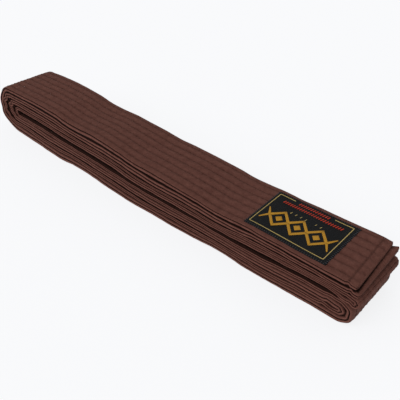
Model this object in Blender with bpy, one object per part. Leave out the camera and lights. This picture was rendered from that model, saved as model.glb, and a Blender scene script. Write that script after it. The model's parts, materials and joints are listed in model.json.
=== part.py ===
"""Martial arts belt of quilted cotton, folded in half three times into a flat hank.

Blender units are metres and +Z is up. The lengths below are in millimetres. The origin is the centre
of the underside. +X runs along the hank from the fold where all the layers turn back to the two free
ends, and the belt's closed seam lies along -Y.

The belt is one strip. Its eight runs lie on each other, numbered from 1 at the top to 8 at the bottom,
and the strip passes through them in the order of RUN_ORDER. It bends at two crease lines across it.
At the first one both free ends lift off the hank together, so runs 1 and 2 are cut there. At the
second one the labelled end, which is run 1, lifts on its own. The label root is run 1 between them.
"""

from math import cos, pi, sin

import bmesh
import bpy

MM = 0.001

# The strip
BELT_WIDTH = 40.0
BELT_THICKNESS = 3.2
COVER_WALL = 0.5
SEAM_SLIT = 0.2
PLY_THICKNESS = 0.55
PLY_SPACING = 0.7
PLY_SIDE_CLEARANCE = 0.3

# The hank: room between the runs, from the topmost pair to the lowest one
HANK_LENGTH = 306.0
TIGHT_GAPS = (0.5, 0.5, 1.1, 0.5, 0.5, 1.0, 0.5)
LOOSE_GAPS = (1.4, 1.4, 1.4, 4.7, 1.4, 1.4, 1.4)
LOOSE_UNTIL = 50.0
TIGHT_FROM = 225.0
RUN_STATIONS = (75.0, 115.0, 160.0, TIGHT_FROM)
RUN_ORDER = (1, 8, 5, 4, 3, 6, 7, 2)
RUN_COUNT = 8

# Where the strip turns back or ends, measured from the hank's -X end
LABEL_TIP = 301.2
SECOND_TIP = 303.6
LOWER_FOLD_END = 302.5
FIRST_CREASE_AFTER_TURN = 4.0
CREASE_SPACING = 24.0
CUT_GAP = 0.3
CREASE_ABOVE_TOP = 0.35
QUARTER_TURN_SEGMENT_LENGTH = 5.0
LEAST_QUARTER_TURN_SEGMENTS = 3

# Sewing
QUILT_ROWS = 7
QUILT_PITCH = 5.5
THREAD_WIDTH = 0.6
THREAD_HEIGHT = 0.15
THREAD_LIFT = 0.03
HEM_TO_TIP = 3.2
ROWS_TO_TIP = 5.0
HEM_SIDE_MARGIN = 1.5

# The woven label, on the top face of run 1
LABEL_START = 233.0
LABEL_LENGTH = 49.6
LABEL_WIDTH = 35.4
LABEL_SHIFT = -0.4
LABEL_THICKNESS = 0.5
LABEL_LIFT = 0.25
LABEL_SEAM_INSET = 0.9

HALF_WIDTH = BELT_WIDTH / 2
HALF_THICKNESS = BELT_THICKNESS / 2
LEFT_END = -HANK_LENGTH / 2


def looseness(x):
    """1 near the fold at the -X end, where the layers stand apart, and 0 where they lie tight."""
    across = (x - LEFT_END - LOOSE_UNTIL) / (TIGHT_FROM - LOOSE_UNTIL)
    across = min(max(across, 0.0), 1.0)
    return 1.0 - across * across * (3.0 - 2.0 * across)


def run_height(run, x):
    """Height of a run's middle plane. Run 8 lies flat on the ground."""
    height = HALF_THICKNESS
    for upper in range(run, RUN_COUNT):
        tight = TIGHT_GAPS[upper - 1]
        loose = LOOSE_GAPS[upper - 1]
        height += BELT_THICKNESS + tight + (loose - tight) * looseness(x)
    return height


def turn_radius(first, second, x):
    return abs(run_height(first, x) - run_height(second, x)) / 2


def fold_centre(first, second, outer_end):
    """X of a turn at the +X end whose outer face reaches outer_end."""
    return outer_end - HALF_THICKNESS - turn_radius(first, second, outer_end)


LEFT_TURN_X = LEFT_END + HALF_THICKNESS + turn_radius(1, 8, LEFT_END)
LOWER_FOLD_X = fold_centre(8, 5, LEFT_END + LOWER_FOLD_END)
UPPER_FOLD_X = fold_centre(4, 3, -LEFT_END)
FIRST_CREASE_X = LEFT_TURN_X + FIRST_CREASE_AFTER_TURN
SECOND_CREASE_X = FIRST_CREASE_X + CREASE_SPACING
CREASE_Z = run_height(1, FIRST_CREASE_X) + HALF_THICKNESS + CREASE_ABOVE_TOP

# The face that is up on run 1 is the outer face. It changes side at each turn.
OUTER_FACE_UP = {run: 1 if index % 2 == 0 else -1 for index, run in enumerate(RUN_ORDER)}

# A station is (x, z, normal_x, normal_z): a point of the strip's middle line, and the outer face's normal.


def run_station(run, x):
    return (x, run_height(run, x), 0.0, float(OUTER_FACE_UP[run]))


def turn_stations(first, second, x, at_left):
    """The half circle that joins two runs, from the first to the second."""
    top = max(run_height(first, x), run_height(second, x))
    radius = turn_radius(first, second, x)
    goes_down = run_height(first, x) > run_height(second, x)
    outward = OUTER_FACE_UP[first] if goes_down else -OUTER_FACE_UP[first]
    side = -1 if at_left else 1
    quarter = round(pi * radius / 2 / QUARTER_TURN_SEGMENT_LENGTH)
    segments = 2 * max(LEAST_QUARTER_TURN_SEGMENTS, quarter)
    stations = []
    for step in range(segments + 1):
        turned = pi * step / segments
        angle = turned if goes_down else pi - turned
        across = side * sin(angle)
        up = cos(angle)
        stations.append((x + radius * across, top - radius + radius * up, outward * across, outward * up))
    return stations


def between(run, start, end):
    """A run's own stations strictly between two places, in the order of travel."""
    places = [LEFT_END + x for x in RUN_STATIONS]
    inside = [x for x in places if min(start, end) < x < max(start, end)]
    return [run_station(run, x) for x in sorted(inside, reverse=end < start)]


def hank_stations():
    """The strip from the cut on run 1 round to the cut on run 2."""
    turns = [
        (1, 8, LEFT_TURN_X, True),
        (8, 5, LOWER_FOLD_X, False),
        (5, 4, LEFT_TURN_X, True),
        (4, 3, UPPER_FOLD_X, False),
        (3, 6, LEFT_TURN_X, True),
        (6, 7, LOWER_FOLD_X, False),
        (7, 2, LEFT_TURN_X, True),
    ]
    stations = [run_station(1, FIRST_CREASE_X)]
    place = FIRST_CREASE_X
    for first, second, x, at_left in turns:
        stations += between(first, place, x)
        stations += turn_stations(first, second, x, at_left)
        place = x
    stations.append(run_station(2, FIRST_CREASE_X))
    return stations


def stretch_stations(run, crease, end):
    """A stretch of one run, from just past a crease to its own end."""
    start = crease + CUT_GAP
    return [run_station(run, start)] + between(run, start, end) + [run_station(run, end)]


# Sections are (across, out) points: along Y, and along the station's normal.


def cover_section():
    """The cover wraps the core and its two turned-in edges meet at -Y."""
    slit = SEAM_SLIT / 2
    inner_half = HALF_THICKNESS - COVER_WALL
    inner_side = HALF_WIDTH - COVER_WALL
    return [
        (-HALF_WIDTH, -slit),
        (-HALF_WIDTH, -HALF_THICKNESS),
        (HALF_WIDTH, -HALF_THICKNESS),
        (HALF_WIDTH, HALF_THICKNESS),
        (-HALF_WIDTH, HALF_THICKNESS),
        (-HALF_WIDTH, slit),
        (-inner_side, slit),
        (-inner_side, inner_half),
        (inner_side, inner_half),
        (inner_side, -inner_half),
        (-inner_side, -inner_half),
        (-inner_side, -slit),
    ]


COVER_OUTER_POINTS = 6


def ply_section(middle):
    side = HALF_WIDTH - COVER_WALL - PLY_SIDE_CLEARANCE
    half = PLY_THICKNESS / 2
    return [(-side, middle - half), (side, middle - half), (side, middle + half), (-side, middle + half)]


def thread_section(across, face):
    """A thread that lies along one face of the belt: face is 1 for the outer face and -1 for the inner."""
    foot = face * (HALF_THICKNESS + THREAD_LIFT)
    crown = face * (HALF_THICKNESS + THREAD_LIFT + THREAD_HEIGHT)
    half = THREAD_WIDTH / 2
    return [(across - half, foot), (across + half, foot), (across, crown)]


def ring_points(section, station, origin):
    x, z, normal_x, normal_z = station
    return [
        ((x + out * normal_x - origin[0]) * MM, across * MM, (z + out * normal_z - origin[1]) * MM)
        for across, out in section
    ]


def swept_mesh(name, section, stations, origin, closed_end=False):
    """Carries a section along stations. closed_end closes a cover's last ring with a wall."""
    mesh = bmesh.new()
    rings = [[mesh.verts.new(p) for p in ring_points(section, s, origin)] for s in stations]
    count = len(section)
    for ring, following in zip(rings, rings[1:]):
        for i in range(count):
            j = (i + 1) % count
            mesh.faces.new((ring[i], ring[j], following[j], following[i]))
    mesh.faces.new(rings[0])
    if closed_end:
        x, z, normal_x, normal_z = stations[-1]
        outside = [(x + COVER_WALL, z, normal_x, normal_z)]
        wall = [mesh.verts.new(p) for p in ring_points(section[:COVER_OUTER_POINTS], outside[0], origin)]
        last = rings[-1]
        mesh.faces.new([last[0]] + last[:COVER_OUTER_POINTS - 1:-1] + [last[COVER_OUTER_POINTS - 1]])
        for i in range(COVER_OUTER_POINTS):
            j = (i + 1) % COVER_OUTER_POINTS
            mesh.faces.new((last[i], last[j], wall[j], wall[i]))
        mesh.faces.new(wall)
    else:
        mesh.faces.new(rings[-1])
    bmesh.ops.recalc_face_normals(mesh, faces=mesh.faces)
    data = bpy.data.meshes.new(name)
    mesh.to_mesh(data)
    mesh.free()
    return data


def box_mesh(name, low, high, origin):
    """A box whose corners are given in the belt's frame."""
    mesh = bmesh.new()
    bmesh.ops.create_cube(mesh, size=1.0)
    centre = [(a + b) / 2 - o for a, b, o in zip(low, high, origin)]
    size = [b - a for a, b in zip(low, high)]
    for vert in mesh.verts:
        vert.co = [(c + s * v) * MM for c, s, v in zip(centre, size, vert.co)]
    data = bpy.data.meshes.new(name)
    mesh.to_mesh(data)
    mesh.free()
    return data


def material(name, colour, roughness):
    made = bpy.data.materials.new(name)
    made.use_nodes = True
    shader = made.node_tree.nodes["Principled BSDF"]
    shader.inputs["Base Color"].default_value = (*colour, 1.0)
    shader.inputs["Roughness"].default_value = roughness
    shader.inputs["Metallic"].default_value = 0.0
    return made


def add(name, mesh, parent, finish):
    piece = bpy.data.objects.new(name, mesh)
    piece.data.materials.append(finish)
    piece.parent = parent
    bpy.context.scene.collection.objects.link(piece)
    return piece


def add_frame(name, x, z):
    frame = bpy.data.objects.new(name, None)
    frame.location = (x * MM, 0.0, z * MM)
    bpy.context.scene.collection.objects.link(frame)
    return frame


def quilt_places():
    return [(row - (QUILT_ROWS - 1) / 2) * QUILT_PITCH for row in range(QUILT_ROWS)]


def add_strip(end, stations, frame, origin, finishes, closed_end):
    """The cover and the three plies of its core, for one stretch of the belt."""
    cover_stations = stations
    ply_stations = stations
    if closed_end:
        x, z, normal_x, normal_z = stations[-1]
        wall_foot = (x - COVER_WALL, z, normal_x, normal_z)
        cover_stations = stations[:-1] + [wall_foot]
        ply_stations = stations[:-1] + [(wall_foot[0] - PLY_SIDE_CLEARANCE, z, normal_x, normal_z)]
    cover = swept_mesh(f"cover_{end}", cover_section(), cover_stations, origin, closed_end)
    add(f"cover_{end}", cover, frame, finishes["cover"])
    plies = (("face", PLY_SPACING), ("middle", 0.0), ("back", -PLY_SPACING))
    for place, middle in plies:
        name = f"core_ply_{place}_{end}"
        add(name, swept_mesh(name, ply_section(middle), ply_stations, origin), frame, finishes["core"])


def add_quilt_rows(name, end, face, stations, frame, origin, finishes):
    for row, across in enumerate(quilt_places(), start=1):
        full_name = f"{name}_{row}_{end}"
        mesh = swept_mesh(full_name, thread_section(across, face), stations, origin)
        add(full_name, mesh, frame, finishes["thread"])


def add_hem_thread(end, run, tip, frame, origin, finishes):
    """The row that holds the turned-in end of the cover, across the top of the belt."""
    x = tip - HEM_TO_TIP
    surface = run_height(run, x) + HALF_THICKNESS + THREAD_LIFT
    side = HALF_WIDTH - HEM_SIDE_MARGIN
    low = (x - THREAD_WIDTH / 2, -side, surface)
    high = (x + THREAD_WIDTH / 2, side, surface + THREAD_HEIGHT)
    name = f"hem_thread_{end}"
    mesh = box_mesh(name, low, high, (origin[0], 0.0, origin[1]))
    add(name, mesh, frame, finishes["thread"])


def add_label(frame, origin, finishes):
    """The woven label and the four rows that sew it down."""
    start = LEFT_END + LABEL_START
    end = start + LABEL_LENGTH
    near = LABEL_SHIFT - LABEL_WIDTH / 2
    far = LABEL_SHIFT + LABEL_WIDTH / 2
    foot = run_height(1, end) + HALF_THICKNESS + LABEL_LIFT
    top = foot + LABEL_THICKNESS
    centre = (origin[0], 0.0, origin[1])
    label = box_mesh("woven_label", (start, near, foot), (end, far, top), centre)
    add("woven_label", label, frame, finishes["label"])
    half = THREAD_WIDTH / 2
    inset = LABEL_SEAM_INSET
    seam_foot = top + THREAD_LIFT
    seam_top = seam_foot + THREAD_HEIGHT
    clear = inset + THREAD_WIDTH + THREAD_LIFT
    seams = (
        ("near", start + clear, near + inset - half, end - clear, near + inset + half),
        ("far", start + clear, far - inset - half, end - clear, far - inset + half),
        ("start", start + inset - half, near + inset - half, start + inset + half, far - inset + half),
        ("finish", end - inset - half, near + inset - half, end - inset + half, far - inset + half),
    )
    for side, low_x, low_y, high_x, high_y in seams:
        name = f"label_thread_{side}"
        mesh = box_mesh(name, (low_x, low_y, seam_foot), (high_x, high_y, seam_top), centre)
        add(name, mesh, frame, finishes["label_thread"])


def add_free_end(end, run, crease_x, tip, frame, origin, finishes):
    """A free end's cover, core and hem, and its quilting rows on the face it shares with the hank."""
    add_strip(end, stretch_stations(run, crease_x, tip), frame, origin, finishes, closed_end=True)
    rows = stretch_stations(run, crease_x, tip - ROWS_TO_TIP)
    add_quilt_rows("quilt_thread", end, -1, rows, frame, origin, finishes)
    add_hem_thread(end, run, tip, frame, origin, finishes)
    return rows


def main():
    for old in list(bpy.data.objects):
        bpy.data.objects.remove(old, do_unlink=True)
    finishes = {
        "cover": material("brown_cotton", (0.105, 0.045, 0.034), 0.9),
        "core": material("interlining", (0.62, 0.58, 0.5), 0.95),
        "thread": material("brown_thread", (0.08, 0.034, 0.026), 0.7),
        "label": material("woven_label_black", (0.012, 0.013, 0.015), 0.6),
        "label_thread": material("black_thread", (0.02, 0.02, 0.022), 0.6),
    }
    centre = (0.0, 0.0)
    hank = add_frame("hank_frame", *centre)
    fold = hank_stations()
    add_strip("hank", fold, hank, centre, finishes, closed_end=False)
    add_quilt_rows("quilt_thread", "hank", -1, fold, hank, centre, finishes)

    first_crease = (FIRST_CREASE_X, CREASE_Z)
    second_end = add_frame("first_crease", *first_crease)
    second_tip = LEFT_END + SECOND_TIP
    add_free_end("second_end", 2, FIRST_CREASE_X, second_tip, second_end, first_crease, finishes)
    root = stretch_stations(1, FIRST_CREASE_X, SECOND_CREASE_X)
    add_strip("label_root", root, second_end, first_crease, finishes, closed_end=False)
    add_quilt_rows("quilt_bobbin_thread", "label_root", 1, root, second_end, first_crease, finishes)

    second_crease = (SECOND_CREASE_X, CREASE_Z)
    label_end = add_frame("second_crease", *second_crease)
    label_tip = LEFT_END + LABEL_TIP
    rows = add_free_end("label_end", 1, SECOND_CREASE_X, label_tip, label_end, second_crease, finishes)
    add_quilt_rows("quilt_bobbin_thread", "label_end", 1, rows, label_end, second_crease, finishes)
    add_label(label_end, second_crease, finishes)


main()
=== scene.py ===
import json
import math

import bmesh
import bpy
import numpy as np
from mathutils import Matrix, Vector


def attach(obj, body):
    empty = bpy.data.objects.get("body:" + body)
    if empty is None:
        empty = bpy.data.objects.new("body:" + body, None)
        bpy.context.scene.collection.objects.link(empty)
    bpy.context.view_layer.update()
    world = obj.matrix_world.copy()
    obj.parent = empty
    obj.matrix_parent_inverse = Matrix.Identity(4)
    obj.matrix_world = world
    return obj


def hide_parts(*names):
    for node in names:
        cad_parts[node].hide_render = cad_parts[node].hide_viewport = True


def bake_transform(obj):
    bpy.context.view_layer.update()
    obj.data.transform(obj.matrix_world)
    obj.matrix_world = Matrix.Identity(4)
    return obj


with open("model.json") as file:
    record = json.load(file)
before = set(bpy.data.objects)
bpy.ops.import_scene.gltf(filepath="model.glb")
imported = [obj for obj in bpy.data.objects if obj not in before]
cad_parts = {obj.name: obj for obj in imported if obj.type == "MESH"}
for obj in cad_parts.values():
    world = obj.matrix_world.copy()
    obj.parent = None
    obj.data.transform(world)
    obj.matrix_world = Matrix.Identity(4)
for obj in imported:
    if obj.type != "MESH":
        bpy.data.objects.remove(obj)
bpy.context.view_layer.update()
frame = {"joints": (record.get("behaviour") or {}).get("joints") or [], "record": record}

# Lengths are in millimetres unless a name says otherwise. "x" runs along the hank from its closed end to
# its tips, "across" from the belt's near edge to its far one, and "along" follows the strip itself.
MM = 0.001
HANK_LENGTH = 306.0
BELT_WIDTH = 40.0
HALF_WIDTH = BELT_WIDTH / 2

# ---- how the layers lie
# Heights of the faces between the layers, at places along the hank.
PLACES = (0, 30, 60, 76, 86, 100, 118, 138, 150, 165, 190, 205, 215, 225, 236, 250, 270, 290, 306)
TOP = (
    38.7, 38.8, 38.8, 38.4, 37.0, 36.2, 36.4, 34.4, 32.5, 31.9,
    31.0, 29.7, 28.8, 28.9, 29.9, 29.8, 29.2, 29.2, 29.2,
)
UNDER_RUN_1 = (
    34.7, 34.7, 34.3, 33.2, 31.4, 31.0, 31.3, 29.8, 28.2, 27.3,
    27.0, 26.3, 25.5, 25.5, 26.4, 26.5, 25.9, 25.7, 25.7,
)
CLEFT_TOP = (
    23.0, 23.0, 22.2, 20.8, 20.5, 19.9, 19.1, 17.9, 16.5, 16.1,
    16.1, 15.9, 15.6, 15.8, 16.3, 17.0, 17.8, 17.4, 12.8,
)
CLEFT_FOOT = (
    19.6, 19.6, 19.2, 18.4, 17.7, 17.1, 16.6, 16.0, 15.2, 14.8,
    14.8, 14.7, 14.4, 14.3, 14.3, 14.8, 15.8, 16.1, 15.9,
)
OVER_RUN_7 = (
    11.8, 11.8, 10.7, 10.3, 10.2, 10.0, 9.5, 8.8, 8.2, 7.7,
    7.8, 7.8, 7.9, 7.8, 7.3, 6.9, 8.3, 8.2, 8.4,
)
UNDERSIDE = (
    2.0, 0.9, 0.3, 0.0, 1.2, 1.0, 0.0, 0.0, 0.0, 0.0,
    0.0, 0.4, 1.1, 0.9, 0.0, 0.0, 0.0, 0.0, 0.3,
)
# How far the lowest run is pushed back from the near side.
SETBACK = (
    0.7, 0.7, -0.3, -0.3, 0.0, -0.1, -0.5, -1.2, -1.4, -1.2,
    -0.6, -0.1, 0.1, 0.1, 0.3, 0.5, 0.8, 1.0, 1.0,
)
# Where a run's share of the room between two profiles ends, at places along the hank.
SHARE_PLACES = (0, 70, 95, 120, 160, 210, 240, 306)
START = (0.0,) * 8
END = (1.0,) * 8
UNDER_2 = (0.39, 0.40, 0.42, 0.47, 0.49, 0.50, 0.42, 0.38)
UNDER_3 = (0.73, 0.75, 0.66, 0.65, 0.66, 0.70, 0.70, 0.70)
UNDER_5 = (0.36, 0.38, 0.37, 0.38, 0.39, 0.42, 0.42, 0.37)
UNDER_7 = (0.36, 0.37, 0.37, 0.38, 0.36, 0.40, 0.42, 0.40)
# Each run's upper and lower face: the two profiles that it lies between, and its share of the room there.
RUNS = {
    1: (TOP, UNDER_RUN_1, START, END),
    2: (UNDER_RUN_1, CLEFT_TOP, START, UNDER_2),
    3: (UNDER_RUN_1, CLEFT_TOP, UNDER_2, UNDER_3),
    4: (UNDER_RUN_1, CLEFT_TOP, UNDER_3, END),
    5: (CLEFT_FOOT, OVER_RUN_7, START, UNDER_5),
    6: (CLEFT_FOOT, OVER_RUN_7, UNDER_5, END),
    7: (OVER_RUN_7, UNDERSIDE, START, UNDER_7),
    8: (OVER_RUN_7, UNDERSIDE, UNDER_7, END),
}
# Each run's share of the setback, how high its seam sits, as a share of its half thickness, and how
# much of its room it fills.
RUN_SETBACK = {1: 0.0, 2: 0.0, 3: 0.1, 4: 0.2, 5: 0.45, 6: 0.6, 7: 0.8, 8: 1.0}
SEAM_LIFT = {1: 0.6, 2: 0.0, 3: 0.1, 4: -0.1, 5: 0.1, 6: -0.05, 7: 0.1, 8: 0.0}
FILL = {1: 0.93, 2: 0.97, 3: 0.97, 4: 0.95, 5: 0.96, 6: 0.92, 7: 0.94, 8: 0.995}
MOST_HALF_THICKNESS = 3.3
# Nothing lies lower than this.
FLOOR_GAP = 0.02
# The waves that a ripple is made of: height, turns and shift with the seed.
RIPPLE_WAVES = ((1.0, 1.0, 1.7), (0.6, 1.85, 2.9), (0.4, 3.15, 4.3))
# Ripples of each run's setback and of its seam's height: height and wave length.
SETBACK_WAVE_HEIGHT = 0.25
SETBACK_WAVE = 55.0
SEAM_WAVE_HEIGHT = 0.15
SEAM_WAVE = 60.0
SEAM_WAVE_SEED = 2.3
# How much higher the top layer lies at its far edge, at places along the hank.
RISE_PLACES = (0, 12, 30, 60, 80, 100, 125, 150, 160, 190, 210, 225, 240, 260, 290, 306)
FAR_RISE = (0.1, 0.4, 1.1, 0.3, -0.8, -1.2, -1.5, 0.0, 0.0, 0.4, 0.2, 0.0, -0.9, -0.4, 0.5, 0.6)
# How open to the light the outer face is: 1 where nothing lies against it.
OPEN = {1: 1.0, 2: 0.0, 3: 0.0, 4: 0.0, 5: 0.05, 6: 0.0, 7: 0.0, 8: 1.0}
# Near the tips the outer faces of these runs are pressed together, so their gap gets less painted shade.
OPEN_AT_TIPS = {6: 0.3, 7: 0.3}
# How closely a run's inner face is pressed to its neighbour at the closed end and at the tips, which makes
# the painted shade in the gap lighter.
PRESSED_PLACES = (205, 240)
PRESSED = {3: (0.1, 0.55), 4: (0.1, 0.55), 5: (0.4, 0.65), 6: (0.4, 0.65), 7: (0.4, 0.5), 8: (0.4, 0.5)}
NOT_PRESSED = (0.0, 0.0)
# The runs on each side of the cleft, whose faces get painted shade inside it.
CLEFT_RUNS = (4, 5)
# Wrinkles near the tips: run, place, height and length.
KINKS = (
    (5, 288.5, 0.55, 2.0),
    (6, 288.0, 0.95, 1.5),
    (7, 285.5, 0.8, 1.8),
    (7, 290.5, -0.4, 1.5),
    (3, 297.0, 0.5, 1.6),
    (4, 298.5, 0.7, 1.3),
    (4, 294.5, -0.4, 1.6),
)
# Turns: first run, second run, centre, which end, buckle height, buckle waves, how open the outer face is,
# and dents as (where, height, length), with where and length as shares of the turn.
TURNS = (
    (1, 8, 16.6, -1, 0.25, 2.6, 1.0, ((0.645, 2.3, 0.085), (0.3, -0.9, 0.12))),
    (8, 5, 293.5, 1, 0.25, 3.0, 1.0, ()),
    (5, 4, 24.5, -1, 0.75, 3.5, 0.0, ((0.5, 0.7, 0.1),)),
    (4, 3, 300.3, 1, 0.45, 3.0, 1.0, ()),
    (3, 6, 20.5, -1, 1.15, 4.5, 0.0, ((0.4, 0.9, 0.08),)),
    (6, 7, 293.3, 1, 0.25, 2.5, 0.3, ()),
    (7, 2, 17.3, -1, 1.0, 5.0, 0.0, ((0.55, 0.8, 0.08), (0.36, 1.2, 0.09))),
)
# Each crease's place in the scene, and along the hank, from the CAD model's joints.
CREASES = {joint["name"]: [p / MM for p in joint["pos_m"]] for joint in frame["joints"]}
CREASE_1 = CREASES["first_crease"][0] + HANK_LENGTH / 2
CREASE_2 = CREASES["second_crease"][0] + HANK_LENGTH / 2
# The label end bends over this length beyond the second crease.
LABEL_TIP = 299.8
SECOND_TIP = 301.6
# How askew each end is: how much less it reaches for each millimetre across.
TIP_SLANT = 0.04
HANK_SLANT = -0.01
# The far corner of run 2's tip curls up.
CURL_PLACES = (296.5, 301.5)
CURL = 2.8
# The folded-in ends are pressed flat from the hem to the tip, down to this share of the belt's thickness.
TIPS = {1: LABEL_TIP, 2: SECOND_TIP}
PRESSED_LENGTH = 5.0
PRESSED_SHARE = 0.72
# A tip's end face bulges by this much, and the stitching rows stop this far before the hem.
TIP_BULGE = 0.7
BULGE_POWER = 0.7
ROWS_TO_HEM = 1.0
# Run 2's upper face starts to be bare this far before the tip above it.
BARE_BEFORE_TIP = 0.4
# Steps between stations: on the runs in sight, on the other runs, round the turns, and over the last
# stretch before a tip.
FINE_STEP = 1.0
COARSE_STEP = 2.0
TURN_STEP = 0.7
LEAST_TURN_STEPS = 12
TIP_STEP = 0.35
TIP_STRETCH = 7.0
# A turn's inside is never tighter than this share of its radius.
MOST_TURN_FILL = 0.97
# Texture coordinates count in this many millimetres.
UV_UNIT = 100.0


def smooth_between(places, values, at):
    """A smooth curve through the values."""
    places = np.asarray(places, float)
    values = np.asarray(values, float)
    at = np.clip(np.asarray(at, float), places[0], places[-1])
    slopes = np.gradient(values, places)
    i = np.clip(np.searchsorted(places, at, side="right") - 1, 0, len(places) - 2)
    room = places[i + 1] - places[i]
    t = (at - places[i]) / room
    start = values[i] * (2 * t**3 - 3 * t**2 + 1) + values[i + 1] * (3 * t**2 - 2 * t**3)
    return start + room * (slopes[i] * (t**3 - 2 * t**2 + t) + slopes[i + 1] * (t**3 - t**2))


def bump_at(at, place, length):
    """A smooth bump, 1 high, that fades out over a length on both sides of a place."""
    return np.exp(-(((at - place) / length) ** 2))


def ripple(at, seed, wave):
    """A gentle irregular wave between about -1 and 1."""
    turn = 2 * np.pi * np.asarray(at, float) / wave
    return sum(height * np.sin(turn * turns + seed * shift) for height, turns, shift in RIPPLE_WAVES) / 2.0


def run_faces(run, x):
    """Heights of a run's upper and lower limit."""
    upper, lower, start, end = RUNS[run]
    high = smooth_between(PLACES, upper, x)
    low = smooth_between(PLACES, lower, x)
    start, end = (np.interp(x, SHARE_PLACES, share) for share in (start, end))
    return high + (low - high) * start, high + (low - high) * end


def run_line(run, x):
    """Middle height, half thickness, setback, tilt, seam lift, openness, pressure and depth of a run."""
    x = np.asarray(x, float)
    high, low = run_faces(run, x)
    middle = (high + low) / 2
    for kinked, place, height, length in KINKS:
        if kinked == run:
            middle = middle + height * bump_at(x, place, length)
    half = np.minimum((high - low) / 2 * FILL[run], MOST_HALF_THICKNESS)
    if run in TIPS:
        half = half * np.interp(x, (TIPS[run] - PRESSED_LENGTH, TIPS[run]), (1.0, PRESSED_SHARE))
    back = smooth_between(PLACES, SETBACK, x) * RUN_SETBACK[run]
    back = back + SETBACK_WAVE_HEIGHT * ripple(x, run, SETBACK_WAVE)
    tilt = smooth_between(RISE_PLACES, FAR_RISE, x) * middle / TOP[0]
    if run == 2:
        tilt = tilt + np.interp(x, CURL_PLACES, (0.0, CURL))
    lift = SEAM_LIFT[run] + SEAM_WAVE_HEIGHT * ripple(x, run * SEAM_WAVE_SEED, SEAM_WAVE)
    pressed = np.interp(x, PRESSED_PLACES, PRESSED.get(run, NOT_PRESSED))
    openness = np.interp(x, PRESSED_PLACES, (OPEN[run], OPEN_AT_TIPS.get(run, OPEN[run])))
    values = (middle, half, back, tilt, lift, openness, pressed, float(run in CLEFT_RUNS))
    return np.stack(np.broadcast_arrays(*values), -1)


# Where run_line puts some of its values.
MIDDLE, HALF, TILT, OPENNESS = 0, 1, 3, 5


def run_points(run, start, end, step):
    count = max(2, int(round(abs(end - start) / step)) + 1)
    x = np.linspace(start, end, count)
    return np.concatenate([x[:, None], run_line(run, x)], 1)


def end_points(run, start, tip):
    """A run out to its tip, with closer stations from the hem on."""
    near_tip = tip - TIP_STRETCH
    parts = [run_points(run, start, near_tip, FINE_STEP), run_points(run, near_tip, tip, TIP_STEP)[1:]]
    return np.concatenate(parts)


def turn_points(turn):
    """The half circle that joins two runs, buckled a little."""
    first, second, centre, side, buckle, waves, openness, dents = turn
    start = run_line(first, centre)
    end = run_line(second, centre)
    radius = abs(start[MIDDLE] - end[MIDDLE]) / 2
    count = max(LEAST_TURN_STEPS, int(math.pi * radius / TURN_STEP))
    t = np.linspace(0, 1, count + 1)
    angle = np.pi * t if start[MIDDLE] > end[MIDDLE] else np.pi * (1 - t)
    waved = radius + buckle * np.sin(np.pi * t) * np.sin(2 * np.pi * waves * t + first)
    for where, height, length in dents:
        waved = waved + height * bump_at(t, where, length)
    points = start + (end - start) * t[:, None]
    points[:, MIDDLE] = (start[MIDDLE] + end[MIDDLE]) / 2 + waved * np.cos(angle)
    points[:, HALF] = np.minimum(points[:, HALF], radius * MOST_TURN_FILL)
    points[:, OPENNESS] = openness
    x = centre + side * waved * np.sin(angle)
    return np.concatenate([x[:, None], points], 1)


def hank_path():
    """The strip from the first crease on run 1, through all the turns, to the first crease on run 2."""
    centres = [turn[2] for turn in TURNS]
    parts = [run_points(1, CREASE_1, centres[0], FINE_STEP)]
    for turn, end in zip(TURNS, centres[1:] + [CREASE_1]):
        parts.append(turn_points(turn)[1:])
        parts.append(run_points(turn[1], turn[2], end, COARSE_STEP)[1:])
    return np.concatenate(parts)


# ---- the strip's section
# Quilting rows, from the near edge.
FIRST_ROW = 3.9
ROW_PITCH = 5.5
ROWS = [FIRST_ROW + ROW_PITCH * i for i in range(7)]
ROW_DEPTH = 0.55
ROW_SOFTNESS = 0.9
# The bend, in 1/mm, that halves a valley's depth, and the number of stations that it is averaged over.
CALM_BEND = 0.04
CALM_STATIONS = 7
STITCH_PITCH = 3.0
# How much shallower the valleys are between their stitches, and how much of them is left past the hem.
STITCH_PULL = 0.28
PAST_HEM = 0.35
HEM_FROM_TIP = 4.2
HEM_DEPTH = 0.5
HEM_SOFTNESS = 0.6
# How far the hem draws the near edge in, and over what length.
HEM_NOTCH = 0.7
HEM_NOTCH_LENGTH = 0.9

# The side's corner radius, and the depth of the seam between its two lips.
CORNER = 1.05
SEAM_DEPTH = 1.0
LIP_POWER = 2.0
# A lip's crown is half way from the seam to the corner.
LIP_CROWN = 0.5
# How much wider a seam gapes as it lifts.
SEAM_GAPE = 1.2
# The belt's edge is this share of its full thickness, and rises to all of it over a distance.
SHOULDER = 0.90
SHOULDER_REACH = 2.6
SHOULDER_POWER = 0.6
# Lumps of the core and puckers of the cover, which fade out with the valleys towards the edges.
LUMP = 0.10
LUMP_LENGTHS = (4.1, 2.3)
LUMP_TURNS = (0.9, 1.3)
PUCKER = 0.05
PUCKER_TURN = 2.1
FLAT_EDGE = 2.0
VALLEY_EDGE_POWER = 0.3
# Waves of the near edge: height, seed and length. The far edge has a share of them.
EDGE_WAVES = ((0.10, 1.0, 17.0), (0.04, 5.0, 13.0))
FAR_WAVE_SHARE = 0.5
# The slant of an end grows over a length up to the tips.
SLANT_START = 240.0
SLANT_LENGTH = 60.0

# Points round a section: across the face beside each row and at the edges, and down the side as shares of
# the half thickness.
ROW_STEPS = (-1.5, -0.75, -0.3, 0.0, 0.3, 0.75, 1.5)
EDGE_STEP = 0.8
HALF_SHARES = (1.0, 0.975, 0.92, 0.83, 0.7, 0.56, 0.42, 0.29, 0.18, 0.09, 0.035, 0.008)
SIDE_SHARES = HALF_SHARES + tuple(-v for v in HALF_SHARES[::-1])
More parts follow.
